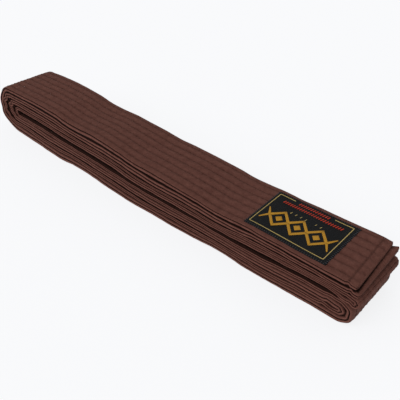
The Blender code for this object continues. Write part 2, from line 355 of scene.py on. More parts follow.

# ---- how light the cloth is: painted shade and painted light, and worn lips
# The stitching gets painted shade: a dark line in a soft darker band, broken into dashes. Both are shares
# taken away.
ROW_PAINTED_SHADE = 0.55
ROW_LINE = 0.5
VALLEY_PAINTED_SHADE = 0.12
VALLEY_WIDTH = 1.3
DASH = 0.7
DASH_TURN = 1.3
DASH_POWER = 8
HEM_PAINTED_SHADE = 0.3
HEM_LINE = 0.5
# The rows' painted shade is fainter towards the tips, where the cloth is flatter.
FAINT_PLACES = (205, 235)
FAINT = (1.0, 0.55)
# How far in from its edges a face between two layers gets painted shade.
SHADED_EDGE = 0.7
# The cleft's faces get a little painted light at their edges, and painted shade further in.
CLEFT_LIGHT = 0.2
CLEFT_LIGHT_REACH = 1.2
CLEFT_REACH = 1.5
# Painted shade darkens a crease from one depth to another, down to the darkest tone. The lips above it are
# worn lighter.
DARKEST_PAINTED_SHADE = 0.07
DARK_FROM = 0.05
DARK_AT = 0.34
WORN_TONE = 0.35
WORN_DEPTH = 0.1
# How much of the painted shade at the far corners is lifted where their face is free.
FAR_EDGE_LIGHT = 0.7
# The label tip's shadow on the layer below: its reach at the near edge, where it starts behind the tip, and
# how softly it starts and ends.
UNDER_TIP = 1.3
SHADOW_BACK = 2.0
SHADOW_START = 1.5
SHADOW_END = 0.6
# A cut end: its tone, the painted shade in the fold across its middle, and the painted shade under its
# lower edge.
CAP_TONE = 0.9
CAP_FOLD_SHADE = 0.55
CAP_FOLD_WIDTH = 0.12
CAP_SHADE = 0.9
CAP_SHADE_FROM = 0.2
CAP_SHADE_RANGE = 0.4


def face_columns():
    """Places across the face, closer together at the quilting rows."""
    columns = [CORNER, CORNER + EDGE_STEP]
    for row in ROWS:
        columns += [row + step for step in ROW_STEPS]
    columns += [(a + b) / 2 for a, b in zip(ROWS, ROWS[1:])]
    columns += [BELT_WIDTH - CORNER - EDGE_STEP, BELT_WIDTH - CORNER]
    return np.array(sorted(columns))


def rounded(depth, share):
    """How far a rounded edge lies back, as the share grows from 0 on its flat to 1 at its depth."""
    return depth * (1 - np.sqrt(1 - np.clip(share, 0, 1) ** LIP_POWER))


def painted_crease_shade(depth):
    """A little over 1 on the worn lips, falling to the darkest painted shade deep in a crease."""
    t = np.clip((depth - DARK_FROM) / (DARK_AT - DARK_FROM), 0, 1)
    worn = WORN_TONE * np.exp(-depth / WORN_DEPTH)
    return (1 + worn) * (1 - (1 - DARKEST_PAINTED_SHADE) * t * t * (3 - 2 * t))


COLUMNS = face_columns()
EDGE = np.minimum(COLUMNS, BELT_WIDTH - COLUMNS) - CORNER
SIDE = np.array(SIDE_SHARES)[1:-1]
# How far each point is past a lip's crown, towards the corner.
FROM_CROWN = np.abs(SIDE) / LIP_CROWN - 1
NEAR_CORNER = rounded(CORNER, FROM_CROWN)
SEAM = rounded(SEAM_DEPTH, -FROM_CROWN)
FAR_ROUNDING = rounded(CORNER, np.abs(SIDE))
# Painted shade of a face that lies against another layer: dark only near its edges.
PAINTED_SHADE_BETWEEN_LAYERS = 1 - (1 - DARKEST_PAINTED_SHADE) * np.exp(-EDGE / SHADED_EDGE)
PAINTED_SHADE_IN_CLEFT = (DARKEST_PAINTED_SHADE + CLEFT_LIGHT * np.exp(-EDGE / CLEFT_LIGHT_REACH)) * np.exp(-EDGE / CLEFT_REACH)
NEVER = 1e9


class Strip:
    """A stretch of the belt, swept along its points: x, and then the values of run_line.

    Its outer face is the one on the face_up side. bare_from is the x from which its inner face is bare.
    """

    def __init__(self, points, face_up, start_along=0.0, has_hem=False, slant=0.0, bare_from=NEVER):
        self.x, self.z, self.half, self.back, self.tilt = points.T[:5]
        self.lift, self.open, self.pressed, self.deep = points.T[5:]
        tangent = np.gradient(np.stack([self.x, self.z], 1), axis=0)
        tangent /= np.linalg.norm(tangent, axis=1)[:, None]
        normal = np.stack([-tangent[:, 1], tangent[:, 0]], 1)
        self.normal = -normal if normal[0, 1] * face_up < 0 else normal
        step = np.hypot(np.diff(self.x), np.diff(self.z))
        self.along = start_along + np.concatenate([[0.0], np.cumsum(step)])
        bend = np.linalg.norm(np.gradient(tangent, self.along, axis=0), axis=1)
        bend = np.convolve(bend, np.ones(CALM_STATIONS) / CALM_STATIONS, "same")
        self.calm = 1 / (1 + (bend / CALM_BEND) ** 2)
        self.slant = slant
        self.face_up = face_up
        self.past = self.x - bare_from
        self.bare = np.clip(self.past, 0, 1)
        self.gape = 1 + SEAM_GAPE * np.clip(self.lift, 0, 1)
        self.hem = self.along[-1] - HEM_FROM_TIP if has_hem else None

    def valleys(self, across, along):
        depth = np.zeros(np.broadcast(across, along).shape)
        for row in ROWS:
            depth = np.maximum(depth, np.exp(-np.abs(across - row) / ROW_SOFTNESS))
        pull = 1 - STITCH_PULL + STITCH_PULL * np.cos(np.pi * along / STITCH_PITCH) ** 2
        depth = ROW_DEPTH * depth * pull * np.interp(along, self.along, self.calm)
        if self.hem is not None:
            depth = np.where(along > self.hem, depth * PAST_HEM, depth)
            depth = np.maximum(depth, HEM_DEPTH * np.exp(-np.abs(along - self.hem) / HEM_SOFTNESS))
        return depth

    def face_level(self, across, along, half):
        """Height of a face above the strip's middle."""
        edge = np.minimum(across, BELT_WIDTH - across) - CORNER
        rise = np.clip(edge / SHOULDER_REACH, 0, 1) ** SHOULDER_POWER
        shoulder = SHOULDER + (1 - SHOULDER) * rise
        lump = LUMP * np.sin(along / LUMP_LENGTHS[0] + across * LUMP_TURNS[0])
        lump = lump * np.sin(along / LUMP_LENGTHS[1] - across * LUMP_TURNS[1])
        pucker = PUCKER * np.sin(np.pi * along / STITCH_PITCH + across * PUCKER_TURN)
        inside = np.clip(edge / FLAT_EDGE, 0, 1)
        valley = self.valleys(across, along) * inside**VALLEY_EDGE_POWER
        return shoulder * half - valley + (lump + pucker) * inside

    def slant_at(self, x, across):
        """How much less the strip reaches at a place across it."""
        return self.slant * across * np.clip((x - SLANT_START) / SLANT_LENGTH, 0, 1)

    def place(self, i, across, level):
        """Points in the scene, in metres, at stations i."""
        x = self.x[i] + level * self.normal[i, 0] - self.slant_at(self.x[i], across)
        z = self.z[i] + level * self.normal[i, 1] + self.tilt[i] * across / BELT_WIDTH
        y = across + self.back[i]
        return np.stack([x - HANK_LENGTH / 2, y - HALF_WIDTH, np.maximum(z, FLOOR_GAP)], -1) * MM

    def rings(self):
        """The points round the section, at every station: outer face, far side, inner face, near side."""
        i = np.arange(len(self.x))[:, None]
        along, half = self.along[:, None], self.half[:, None]
        face = self.face_level(COLUMNS, along, half)
        lift = self.lift[:, None] * (1 - np.abs(SIDE))
        side = (SIDE + lift) * half * SHOULDER
        wobble = sum(height * ripple(along, seed, length) for height, seed, length in EDGE_WAVES)
        near = NEAR_CORNER + SEAM * self.gape[:, None] + wobble
        if self.hem is not None:
            near = near + HEM_NOTCH * bump_at(along, self.hem, HEM_NOTCH_LENGTH)
        far = BELT_WIDTH - FAR_ROUNDING + wobble * FAR_WAVE_SHARE
        columns = np.broadcast_to(COLUMNS, face.shape)
        parts = [
            self.place(i, columns, face),
            self.place(i, far, side),
            self.place(i, columns[:, ::-1], -face[:, ::-1]),
            self.place(i, near[:, ::-1], side[:, ::-1]),
        ]
        return np.concatenate(parts, 1)

    def outer_tone(self):
        """The outer face: painted shade along the stitching, and at its edges where a layer lies against
        it.
        """
        along = self.along[:, None]
        row, valley = np.zeros((2, len(COLUMNS)))
        for place in ROWS:
            row = np.maximum(row, np.exp(-np.abs(COLUMNS - place) / ROW_LINE))
            valley = np.maximum(valley, bump_at(COLUMNS, place, VALLEY_WIDTH))
        dash = np.cos(np.pi * along / STITCH_PITCH + COLUMNS * DASH_TURN) ** DASH_POWER
        dash = 1 - DASH + DASH * dash
        faint = np.interp(self.x, FAINT_PLACES, FAINT)[:, None]
        tone = (1 - ROW_PAINTED_SHADE * faint * row * dash) * (1 - VALLEY_PAINTED_SHADE * valley)
        if self.hem is not None:
            tone = tone * (1 - HEM_PAINTED_SHADE * bump_at(along, self.hem, HEM_LINE))
        openness = self.open[:, None]
        covered = PAINTED_SHADE_BETWEEN_LAYERS + (PAINTED_SHADE_IN_CLEFT - PAINTED_SHADE_BETWEEN_LAYERS) * self.deep[:, None]
        return tone * (openness + (1 - openness) * covered)

    def inner_tone(self):
        """The inner face: painted shade as if between layers, but bare beyond the tip above it, whose
        painted shadow it has.
        """
        past, bare = self.past[:, None], self.bare[:, None]
        reach = UNDER_TIP * (1 - COLUMNS / BELT_WIDTH) ** 0.5 - (TIP_SLANT - self.slant) * COLUMNS
        shadow = np.clip((past + SHADOW_BACK) / SHADOW_START, 0, 1)
        shadow = shadow * (1 - np.clip((past - reach) / SHADOW_END, 0, 1))
        return (PAINTED_SHADE_BETWEEN_LAYERS + (1 - PAINTED_SHADE_BETWEEN_LAYERS) * bare) * (1 - (1 - DARKEST_PAINTED_SHADE) * shadow)

    def side_tones(self):
        """The far and the near side: painted shade in the seam, and at the corners unless a face there is
        free.
        """
        near = painted_crease_shade(NEAR_CORNER + SEAM * self.gape[:, None])
        far = painted_crease_shade(FAR_ROUNDING)
        free = self.open[:, None] * (SIDE > LIP_CROWN)
        free = free + np.maximum(self.bare, self.pressed)[:, None] * (SIDE < -LIP_CROWN)
        return far + (1 - far) * free * FAR_EDGE_LIGHT, near + (1 - near) * free

    def tones(self):
        """How light each point of the rings is, with painted shade and painted light."""
        far, near = self.side_tones()
        return np.concatenate([self.outer_tone(), far, self.inner_tone()[:, ::-1], near[:, ::-1]], 1)

    def along_at(self, along, across, side):
        """Point, direction and normal on the outer (side 1) or inner (side -1) face."""
        stations = (self.x, self.z, self.half, self.back, self.tilt)
        x, z, half, back, tilt = (np.interp(along, self.along, v) for v in stations)
        normal = np.stack([np.interp(along, self.along, self.normal[:, k]) for k in (0, 1)], -1)
        normal /= np.linalg.norm(normal, axis=-1)[..., None]
        level = side * self.face_level(across, along, half)
        px = x + level * normal[..., 0] - self.slant_at(x, across)
        pz = z + level * normal[..., 1] + tilt * across / BELT_WIDTH
        point = np.stack([px - HANK_LENGTH / 2, across + back - HALF_WIDTH, pz], -1)
        out = np.stack([normal[..., 0], np.zeros_like(px), normal[..., 1]], -1) * side
        ahead = np.stack([out[..., 2], np.zeros_like(px), -out[..., 0]], -1)
        return point, ahead, out


def cap_faces(points, base, bulge):
    """Closes an end with rows that run across the belt. Returns the new points and the faces."""
    columns, shares = len(COLUMNS), len(SIDE)
    top = [base + i for i in range(columns)]
    bottom = [base + columns + shares + (columns - 1 - i) for i in range(columns)]
    far = [base + columns + k for k in range(shares)]
    near = [base + 2 * columns + shares + (shares - 1 - k) for k in range(shares)]
    rows, extra = [top], []
    for k, share in enumerate(SIDE):
        out = bulge * abs(math.sin(math.pi * share)) ** BULGE_POWER * MM
        row = [near[k]]
        for i in range(1, columns - 1):
            a, b = points[top[i]], points[bottom[i]]
            extra.append(a + (b - a) * (1 - share) / 2 + np.array([out, 0, 0]))
            row.append(len(points) + len(extra) - 1)
        rows.append(row + [far[k]])
    rows.append(bottom)
    faces = []
    for upper, lower in zip(rows, rows[1:]):
        faces += [(upper[i], upper[i + 1], lower[i + 1], lower[i]) for i in range(columns - 1)]
    return np.array(extra), faces


def cap_tones(face_up, spread):
    """An end's tones: painted shade in the fold across its middle, and under its lower edge."""
    fold = CAP_FOLD_SHADE * bump_at(SIDE, 0.0, CAP_FOLD_WIDTH)
    under = CAP_SHADE * np.clip((-SIDE * face_up - CAP_SHADE_FROM) / CAP_SHADE_RANGE, 0, 1)
    return np.repeat(CAP_TONE * (1 - fold) * (1 - under), spread)


def ring_faces(base, size, rings):
    """The faces that join neighbouring rings of points."""
    faces = []
    for a in range(base, base + size * (rings - 1), size):
        for k in range(size):
            m = (k + 1) % size
            faces.append((a + k, a + m, a + size + m, a + size + k))
    return faces


def add_object(name, data):
    item = bpy.data.objects.new(name, data)
    bpy.context.scene.collection.objects.link(item)
    return item


def mesh_object(name, points, faces, material, uv=None, tone=None):
    mesh = bpy.data.meshes.new(name)
    mesh.from_pydata([tuple(p) for p in points], [], faces)
    made = bmesh.new()
    made.from_mesh(mesh)
    bmesh.ops.recalc_face_normals(made, faces=made.faces)
    made.to_mesh(mesh)
    made.free()
    mesh.polygons.foreach_set("use_smooth", [True] * len(mesh.polygons))
    if uv is not None:
        corner = np.zeros(len(mesh.loops), int)
        mesh.loops.foreach_get("vertex_index", corner)
        layer = mesh.uv_layers.new(name="UVMap")
        layer.data.foreach_set("uv", np.asarray(uv, np.float32)[corner].ravel())
    if tone is not None:
        attribute = mesh.attributes.new("tone", "FLOAT", "POINT")
        attribute.data.foreach_set("value", np.asarray(tone, np.float32))
    mesh.materials.append(material)
    return add_object(name, mesh)


def strip_object(name, strip, tip_bulge, material):
    """A tube of the strip's rings, closed at both ends."""
    rings = strip.rings()
    stations, size = rings.shape[:2]
    points = rings.reshape(-1, 3)
    faces = ring_faces(0, size, stations)
    around = np.linalg.norm(np.diff(rings[0], axis=0), axis=1).cumsum() / MM
    around = np.concatenate([[0], around])
    uv = np.stack(np.meshgrid(strip.along, around, indexing="ij"), -1).reshape(-1, 2)
    tone = strip.tones().ravel()
    last = (stations - 1) * size
    for base, place, bulge in ((0, strip.along[0], 0.0), (last, strip.along[-1], tip_bulge)):
        extra, more = cap_faces(points, base, bulge)
        points = np.concatenate([points, extra])
        faces += more
        spots = np.stack([place + extra[:, 2] / MM, extra[:, 1] / MM], -1)
        uv = np.concatenate([uv, spots])
        tone = np.concatenate([tone, cap_tones(strip.face_up, len(extra) // len(SIDE))])
    return mesh_object(name, points, faces, material, uv / UV_UNIT, tone)


# ---- threads
# A stitch's rings: where along it, and how thick there, as shares. Its middle line is sunk by a share of
# its height, so that both ends dip into the cloth.
THREAD_RINGS = ((-0.5, 0.25), (-0.38, 0.8), (0.0, 1.0), (0.38, 0.8), (0.5, 0.25))
THREAD_SIDES = 6
THREAD_SUNK = 0.3
# Length, width and height of a stitch of each kind.
QUILTING_STITCH = (2.3, 0.55, 0.34)
HEM_STITCH = (2.3, 0.6, 0.36)
LABEL_STITCH = (1.3, 0.34, 0.3)
# How unevenly the rows' stitches start.
ROW_SHIFT = 0.35
ROW_SHIFT_TURN = 7.1
HEM_START = 2.4
HEM_END = BELT_WIDTH - 1.5
HEM_PITCH = 2.9


def stitches(name, point, ahead, out, size, material):
    """Short threads that dip into the cloth at both ends."""
    length, width, height = size
    point, ahead, out = (v.reshape(-1, 3) for v in (point, ahead, out))
    beside = np.cross(ahead, out)
    turn = np.linspace(0, 2 * np.pi, THREAD_SIDES, endpoint=False)
    cloud = []
    for share, swell in THREAD_RINGS:
        for angle in turn:
            up = height * (math.sin(angle) * swell * 0.5 + 0.5 * swell - THREAD_SUNK)
            side = width / 2 * math.cos(angle) * swell
            cloud.append(point + ahead * share * length + beside * side + out * up)
    points = np.stack(cloud, 1)
    points[..., 2] = np.maximum(points[..., 2], FLOOR_GAP)
    per = len(THREAD_RINGS) * THREAD_SIDES
    faces = ring_faces(0, THREAD_SIDES, len(THREAD_RINGS))
    faces += [tuple(range(THREAD_SIDES)), tuple(range(per - 1, per - THREAD_SIDES - 1, -1))]
    every = []
    for k in range(len(point)):
        every += [tuple(k * per + v for v in face) for face in faces]
    return mesh_object(name, points.reshape(-1, 3) * MM, every, material)


def quilting(name, strip, side, start, end, material):
    """The rows of stitches on one face of a strip."""
    along = np.arange(start + STITCH_PITCH / 2, end - STITCH_PITCH / 2, STITCH_PITCH)
    grid, rows = np.meshgrid(along, ROWS, indexing="ij")
    grid = grid + ROW_SHIFT * np.sin(rows * ROW_SHIFT_TURN)
    point, ahead, out = strip.along_at(grid, rows, side)
    return stitches(name, point, ahead, out, QUILTING_STITCH, material)


def hem_row(name, strip, side, material):
    """The row of stitches across a strip's hem."""
    across = np.arange(HEM_START, HEM_END, HEM_PITCH)
    point, ahead, out = strip.along_at(np.full(len(across), strip.hem), across, side)
    return stitches(name, point, np.cross(out, ahead), out, HEM_STITCH, material)


# ---- the label
LABEL_X = (233.0, 282.6)
LABEL_ACROSS = (2.3, 37.2)
LABEL_THICKNESS = 0.45
# How much further in the label starts at the belt's near edge than at its far one.
LABEL_SKEW = 1.6
# The label's mesh: points along and across, how far its middle is sunk and its rim tucked below run 1's
# crowns, and how far in from the edge it has risen.
LABEL_GRID = (110, 78)
LABEL_SUNK = 0.05
LABEL_TUCK = 0.25
EDGE_ROUNDING = 0.22
# The sewn groove round it: depth, distance from the edge, and width. Then the slow wave of its face and the
# crimps of its edge, each as a height, lengths and a reach.
GROOVE = (0.22, 1.0, 0.45)
LABEL_WAVE = (0.12, 5.3, 9.0, 6.0)
CRIMP = (0.05, 2.2, 0.8)
# The border's distance from the label's start, end, near edge and far edge. Its far side has a gap.
BORDER = (2.0, 2.9, 2.6, 2.4)
BORDER_WIDTH = 0.42
BORDER_STEP = 1.1
BORDER_GAP = (245.5, 268.5)
LABEL_STITCH_PITCH = 1.35
STITCH_TO_CORNER = 0.6
STITCH_TO_EDGE = 0.45
STITCH_LEVEL = LABEL_THICKNESS * 0.8
# Where the woven shapes stand on the label, and how far each kind rises above that.
SHAPE_FOOT = LABEL_THICKNESS - 0.12
BORDER_RISE = 0.16
GOLD_RISE = 0.24
RED_RISE = 0.2
TAN_RISE = 0.18
# Sizes of a raised shape's rings above its foot, as shares of the outline.
RAISED_SHARES = (0.97, 0.5)
# The chain of diamonds: centres, half length and half width, bar width, and the small diamond's halves.
CHAIN_X = (246.3, 257.6, 268.9)
CHAIN_ACROSS = 15.9
DIAMOND = (7.0, 7.6)
DIAMOND_BAR = 1.6
MITRE = 1.4
SMALL_DIAMOND = (2.3, 2.5)
# The forks at its ends: where each starts and which way it points, its reach both ways, and its widths.
FORKS = ((236.9, 1), (278.3, -1))
FORK_REACH = (3.4, 5.4)
FORK_WIDTHS = (0.7, 1.5)
# Rows of short slanted bars: start and place across, number of bars, pitch, lean, half length and width.
RED_HATCHES = ((240.6, 30.3, 25, 1.45, 0.35, 1.05, 0.62), (248.3, 33.9, 13, 1.45, 0.35, 1.05, 0.62))
TAN_HATCH = (248.6, 24.4, 7, 3.0, 0.25, 0.75, 0.32)


def top_height(x, across):
    """Height of run 1's crowns under the label."""
    line = run_line(1, x)
    return line[..., MIDDLE] + line[..., HALF] + line[..., TILT] * across / BELT_WIDTH


def on_label(x, across, lift):
    """Points in the scene, in metres, at a height above run 1's crowns."""
    from_start = (x - LABEL_X[0]) / (LABEL_X[1] - LABEL_X[0])
    z = top_height(x, across) + lift
    x = x + LABEL_SKEW * (1 - across / BELT_WIDTH) * (1 - from_start)
    return np.stack([x - HANK_LENGTH / 2, across - HALF_WIDTH, z], -1) * MM


def label_lift(x, across):
    """The label's height above its foot: its edges are turned under, and its sewn edge is drawn down."""
    near_x = np.minimum(x - LABEL_X[0], LABEL_X[1] - x)
    near_y = np.minimum(across - LABEL_ACROSS[0], LABEL_ACROSS[1] - across)
    edge = np.minimum(near_x, near_y)
    lift = LABEL_THICKNESS * (1 - np.exp(-edge / EDGE_ROUNDING))
    depth, inset, width = GROOVE
    lift -= depth * bump_at(edge, inset, width)
    height, length, width, reach = LABEL_WAVE
    lift += height * np.sin(x / length + across / width) * np.clip(edge / reach, 0, 1)
    height, length, reach = CRIMP
    lift += height * np.sin(2 * np.pi * (x + across) / length) * np.exp(-edge / reach)
    return lift


def label_sheet(material):
    """The woven label's mesh: a top and an underside, joined round the rim."""
    columns, rows = (np.linspace(*ends, count) for ends, count in zip((LABEL_X, LABEL_ACROSS), LABEL_GRID))
    x, across = np.meshgrid(columns, rows, indexing="ij")
    top = on_label(x, across, label_lift(x, across) - LABEL_SUNK)
    under = on_label(x, across, np.full(x.shape, -LABEL_TUCK))
    size = x.size
    index = np.arange(size).reshape(LABEL_GRID)
    quads = np.stack([index[:-1, :-1], index[1:, :-1], index[1:, 1:], index[:-1, 1:]], -1).reshape(-1, 4)
    faces = quads.tolist() + (quads[:, ::-1] + size).tolist()
    rim = list(index[:, 0]) + list(index[-1, 1:]) + list(index[-2::-1, -1]) + list(index[0, -2:0:-1])
    for a, b in zip(rim, rim[1:] + rim[:1]):
        faces.append((int(a), int(b), int(b) + size, int(a) + size))
    points = np.concatenate([top.reshape(-1, 3), under.reshape(-1, 3)])
    uv = np.stack([x.ravel(), across.ravel()], -1) / UV_UNIT
    return mesh_object("woven_label_sheet", points, faces, material, np.concatenate([uv, uv]))


def raised(name, outlines, rise, material):
    """Flat shapes woven proud of the label: each outline is a list of (x, across) points."""
    points, faces = [], []
    level = SHAPE_FOOT + rise
    for outline in outlines:
        outline = np.asarray(outline, float)
        base = len(points)
        n = len(outline)
        centre = outline.mean(0)
        for share, height in ((1.0, SHAPE_FOOT), *((share, level) for share in RAISED_SHARES)):
            for p in centre + (outline - centre) * share:
                points.append(on_label(p[0], p[1], height))
        points.append(on_label(centre[0], centre[1], level))
        faces += ring_faces(base, n, 3)
        last = base + 2 * n
        for k in range(n):
            faces.append((last + k, last + (k + 1) % n, base + 3 * n))
        faces.append(tuple(base + k for k in range(n - 1, -1, -1)))
    return mesh_object(name, points, faces, material)


def bar(a, b, width, end_width=None):
    """A slanted bar between two places, as an outline of (x, across)."""
    a, b = np.array(a, float), np.array(b, float)
    ahead = (b - a) / np.linalg.norm(b - a)
    side = np.array([-ahead[1], ahead[0]])
    start_half = width / 2
    end_half = start_half if end_width is None else end_width / 2
    return [a + side * start_half, a - side * start_half, b - side * end_half, b + side * end_half]


def diamond(x, across, wide, tall):
    return [(x - wide, across), (x, across - tall), (x + wide, across), (x, across + tall)]


def diamond_ring(x, across, wide, tall, width):
    """Four mitred bars round a diamond."""
    outer = diamond(x, across, wide, tall)
    inner = diamond(x, across, wide - width * MITRE, tall - width * MITRE)
    pairs = list(zip(outer, inner))
    return [[a, b, d, c] for (a, c), (b, d) in zip(pairs, pairs[1:] + pairs[:1])]


def hatch(start, across, count, pitch, lean, tall, width):
    places = [start + pitch * i for i in range(count)]
    return [bar((x - lean, across - tall), (x + lean, across + tall), width) for x in places]


def split(start, end, step):
    """Neighbouring pairs of places about a step apart."""
    places = np.linspace(start, end, int(round((end - start) / step)) + 1)
    return list(zip(places, places[1:]))


def border():
    """A thin line of short woven bars, broken on the far side by the ornament's upper row."""
    x0, x1 = LABEL_X[0] + BORDER[0], LABEL_X[1] - BORDER[1]
    y0, y1 = LABEL_ACROSS[0] + BORDER[2], LABEL_ACROSS[1] - BORDER[3]
    bars = []
    for a, b in split(x0, x1, BORDER_STEP):
        bars.append(bar((a, y0), (b, y0), BORDER_WIDTH))
        if b < BORDER_GAP[0] or a > BORDER_GAP[1]:
            bars.append(bar((a, y1), (b, y1), BORDER_WIDTH))
    for a, b in split(y0, y1, BORDER_STEP):
        bars += [bar((x, a), (x, b), BORDER_WIDTH) for x in (x0, x1)]
    return bars


def chain():
    """A chain of diamonds, with a fork at each end."""
    shapes = []
    for x in CHAIN_X:
        shapes += diamond_ring(x, CHAIN_ACROSS, *DIAMOND, DIAMOND_BAR)
        shapes.append(diamond(x, CHAIN_ACROSS, *SMALL_DIAMOND))
    for x, way in FORKS:
        tip = (x + way * FORK_REACH[0], CHAIN_ACROSS)
        shapes.append(bar((x, CHAIN_ACROSS - FORK_REACH[1]), tip, *FORK_WIDTHS))
        shapes.append(bar((x, CHAIN_ACROSS + FORK_REACH[1]), tip, *FORK_WIDTHS))
    return shapes


def label_stitches(material):
    """Short stitches that sew the label's rim down, across its edge."""
    x0, x1 = LABEL_X
    y0, y1 = LABEL_ACROSS
    corner, rim = STITCH_TO_CORNER, STITCH_TO_EDGE
    spots = []
    for a, b in split(x0 + corner, x1 - corner, LABEL_STITCH_PITCH):
        spots += [((a + b) / 2, y, 0.0, 1.0) for y in (y0 + rim, y1 - rim)]
    for a, b in split(y0 + corner, y1 - corner, LABEL_STITCH_PITCH):
        spots += [(x, (a + b) / 2, 1.0, 0.0) for x in (x0 + rim, x1 - rim)]
    spots = np.array(spots)
    point = on_label(spots[:, 0], spots[:, 1], np.full(len(spots), STITCH_LEVEL)) / MM
    ahead = np.stack([spots[:, 2], spots[:, 3], np.zeros(len(spots))], -1)
    out = np.tile([0.0, 0.0, 1.0], (len(spots), 1))
    return stitches("label_stitches", point, ahead, out, LABEL_STITCH, material)


# ---- materials
COTTON_DARK = (0.072, 0.0274, 0.0210, 1)
COTTON_LIGHT = (0.132, 0.0555, 0.0423, 1)
COTTON_SHEEN = (0.62, 0.34, 0.28, 1)
# The patches of worn colour: the noise values where the dark and the light colour are reached.
PATCH_RANGE = (0.32, 0.68)
# The twill's share of the cloth's relief. The rest is fuzz.
TWILL_SHARE = 0.5
# A thread's colour runs between these shares of its own, and its gloss is tinted by it.
THREAD_SHADES = (0.75, 1.15)
THREAD_TINT = 4
THREAD_TINT_LEAST = 0.2
BROWN = (0.075, 0.029, 0.021)
GREY = (0.045, 0.046, 0.052)
GOLD = (0.40, 0.20, 0.022)
PALE_GOLD = (0.42, 0.31, 0.11)
RED = (0.38, 0.035, 0.018)
WEAVE_DARK = (0.003, 0.0033, 0.0037, 1)
WEAVE_LIGHT = (0.016, 0.018, 0.02, 1)
FLOOR_COLOUR = (0.15, 0.152, 0.16, 1)
FLOOR_GLOW = (0.985, 0.99, 1.0, 1)
FLOOR_GLOW_STRENGTH = 0.82


def new_material(name):
    made = bpy.data.materials.new(name)
    made.use_nodes = True
    return made, made.node_tree, made.node_tree.nodes["Principled BSDF"]


def set_inputs(node, values):
    for name, value in values.items():
        node.inputs[name].default_value = value


def set_shader(shader, roughness, specular, sheen=0.0, tint=(1, 1, 1, 1)):
    set_inputs(shader, {"Roughness": roughness, "Specular IOR Level": specular, "Specular Tint": tint})
    set_inputs(shader, {"Sheen Weight": sheen, "Sheen Roughness": 0.5, "Sheen Tint": tint})


def add_node(tree, kind, **values):
    """A node with its inputs set by name."""
    node = tree.nodes.new(kind)
    set_inputs(node, values)
    return node


def add_texture(tree, kind, where, **values):
    """A texture node that reads its place from an output."""
    node = add_node(tree, kind, **values)
    tree.links.new(where, node.inputs["Vector"])
    return node


def add_uv(tree):
    uv = tree.nodes.new("ShaderNodeUVMap")
    uv.uv_map = "UVMap"
    return uv.outputs["UV"]


def add_math(tree, operation, first, second):
    node = tree.nodes.new("ShaderNodeMath")
    node.operation = operation
    tree.links.new(first, node.inputs[0])
    if isinstance(second, float):
        node.inputs[1].default_value = second
    else:
        tree.links.new(second, node.inputs[1])
    return node


def add_ramp(tree, value, dark, light, places=(0.0, 1.0)):
    """A colour between a dark and a light one."""
    node = tree.nodes.new("ShaderNodeValToRGB")
    for element, place, colour in zip(node.color_ramp.elements, places, (dark, light)):
        element.position = place
        element.color = colour
    tree.links.new(value, node.inputs["Fac"])
    return node.outputs["Color"]


def add_bump(tree, shader, height, strength, metres):
    node = add_node(tree, "ShaderNodeBump", Strength=strength, Distance=metres)
    tree.links.new(height, node.inputs["Height"])
    tree.links.new(node.outputs["Normal"], shader.inputs["Normal"])


def cotton():
    """Brown cotton twill, worn in patches, with the painted shade and painted light of the mesh's tone."""
    made, tree, shader = new_material("brown_cotton_twill")
    uv = add_uv(tree)
    patches = add_texture(tree, "ShaderNodeTexNoise", uv, Scale=24.0, Detail=8.0, Roughness=0.8)
    colour = add_ramp(tree, patches.outputs["Fac"], COTTON_DARK, COTTON_LIGHT, PATCH_RANGE)
    tone = tree.nodes.new("ShaderNodeAttribute")
    tone.attribute_name = "tone"
    shaded = tree.nodes.new("ShaderNodeVectorMath")
    shaded.operation = "SCALE"
    tree.links.new(colour, shaded.inputs[0])
    tree.links.new(tone.outputs["Fac"], shaded.inputs["Scale"])
    tree.links.new(shaded.outputs["Vector"], shader.inputs["Base Color"])
    twill = add_texture(tree, "ShaderNodeTexWave", uv, Scale=95.0, Distortion=0.8, Detail=1.0)
    twill.bands_direction = "DIAGONAL"
    fuzz = add_texture(tree, "ShaderNodeTexNoise", uv, Scale=260.0, Detail=2.0)
    relief = add_math(tree, "MULTIPLY_ADD", twill.outputs["Fac"], TWILL_SHARE)
    tree.links.new(fuzz.outputs["Fac"], relief.inputs[2])
    add_bump(tree, shader, relief.outputs[0], strength=0.5, metres=0.00025)
    set_shader(shader, roughness=0.92, specular=0.12, sheen=0.05, tint=COTTON_SHEEN)
    return made


def thread(name, colour):
    """A twisted thread."""
    made, tree, shader = new_material(name)
    place = tree.nodes.new("ShaderNodeTexCoord")
    twist = add_texture(tree, "ShaderNodeTexWave", place.outputs["Object"], Scale=900.0, Distortion=0.3)
    dark, light = ((*(c * shade for c in colour), 1) for shade in THREAD_SHADES)
    shaded = add_ramp(tree, twist.outputs["Fac"], dark, light)
    tree.links.new(shaded, shader.inputs["Base Color"])
    add_bump(tree, shader, twist.outputs["Fac"], strength=0.4, metres=0.0001)
    tint = (*(min(1.0, c * THREAD_TINT + THREAD_TINT_LEAST) for c in colour), 1)
    set_shader(shader, roughness=0.6, specular=0.15, tint=tint)
    return made


def label_weave():
    """A tight woven face with fine ribs."""
    made, tree, shader = new_material("label_black_weave")
    uv = add_uv(tree)
    ribs = add_texture(tree, "ShaderNodeTexWave", uv, Scale=120.0, Distortion=0.4)
    ribs.bands_direction = "Y"
    noise = add_texture(tree, "ShaderNodeTexNoise", uv, Scale=140.0, Detail=3.0)
    mixed = add_math(tree, "MULTIPLY", ribs.outputs["Fac"], noise.outputs["Fac"])
    colour = add_ramp(tree, mixed.outputs[0], WEAVE_DARK, WEAVE_LIGHT)
    tree.links.new(colour, shader.inputs["Base Color"])
    add_bump(tree, shader, ribs.outputs["Fac"], strength=0.5, metres=0.00015)
    set_shader(shader, roughness=0.7, specular=0.1)
    return made


